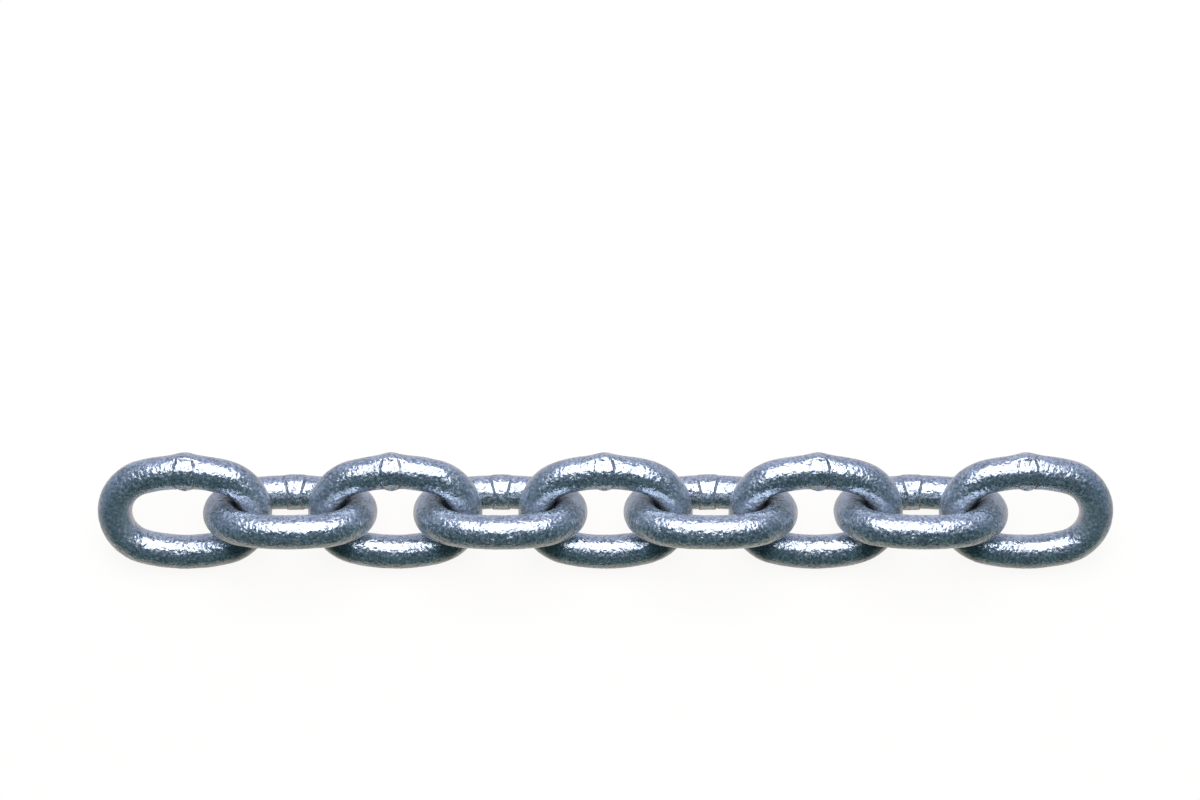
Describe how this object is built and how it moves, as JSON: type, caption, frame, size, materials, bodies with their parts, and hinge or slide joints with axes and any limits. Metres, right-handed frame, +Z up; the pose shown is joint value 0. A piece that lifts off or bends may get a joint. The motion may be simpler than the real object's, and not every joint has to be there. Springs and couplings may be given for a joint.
{
  "type": "welded steel chain",
  "caption": "Straight length of welded steel chain: oval round-bar links, each hanging in the next, with open end eyes that take a hook or shackle.",
  "frame": {"origin": "on the floor under the middle of the laid-out chain", "axes": "+X along the chain, +Y across it towards the links' weld side, +Z up"},
  "size_m": [0.3042, 0.0302, 0.0289],
  "materials": {
    "galvanised_steel": "zinc-coated steel, bright bluish silver with a fine hammered mottle"
  },
  "bodies": {
    "link_1": {"link_1": "galvanised_steel"},
    "link_2": {"link_2": "galvanised_steel"},
    "link_3": {"link_3": "galvanised_steel"},
    "link_4": {"link_4": "galvanised_steel"},
    "link_5": {"link_5": "galvanised_steel"},
    "link_6": {"link_6": "galvanised_steel"},
    "link_7": {"link_7": "galvanised_steel"},
    "link_8": {"link_8": "galvanised_steel"},
    "link_9": {"link_9": "galvanised_steel"}
  },
  "joints": [
    {"name": "swing_6", "type": "hinge", "parent": "link_5", "child": "link_6", "pos_m": [0.021, -0.00038, 0.01408], "axis": [0, 0.7071, 0.7071], "range_deg": [-90, 90]},
    {"name": "swing_7", "type": "hinge", "parent": "link_6", "child": "link_7", "pos_m": [0.0525, -0.00038, 0.01408], "axis": [0, -0.7521, 0.6591], "range_deg": [-90, 90]},
    {"name": "swing_8", "type": "hinge", "parent": "link_7", "child": "link_8", "pos_m": [0.084, -0.00038, 0.01408], "axis": [0, 0.7071, 0.7071], "range_deg": [-90, 90]},
    {"name": "swing_9", "type": "hinge", "parent": "link_8", "child": "link_9", "pos_m": [0.1155, -0.00038, 0.01408], "axis": [0, -0.7505, 0.6608], "range_deg": [-90, 90]},
    {"name": "swing_4", "type": "hinge", "parent": "link_5", "child": "link_4", "pos_m": [-0.021, -0.00038, 0.01408], "axis": [0, 0.7071, 0.7071], "range_deg": [-90, 90]},
    {"name": "swing_3", "type": "hinge", "parent": "link_4", "child": "link_3", "pos_m": [-0.0525, -0.00038, 0.01408], "axis": [0, -0.7523, 0.6589], "range_deg": [-90, 90]},
    {"name": "swing_2", "type": "hinge", "parent": "link_3", "child": "link_2", "pos_m": [-0.084, -0.00038, 0.01408], "axis": [0, 0.7071, 0.7071], "range_deg": [-90, 90]},
    {"name": "swing_1", "type": "hinge", "parent": "link_2", "child": "link_1", "pos_m": [-0.1155, -0.00038, 0.01408], "axis": [0, -0.752, 0.6592], "range_deg": [-90, 90]}
  ]
}
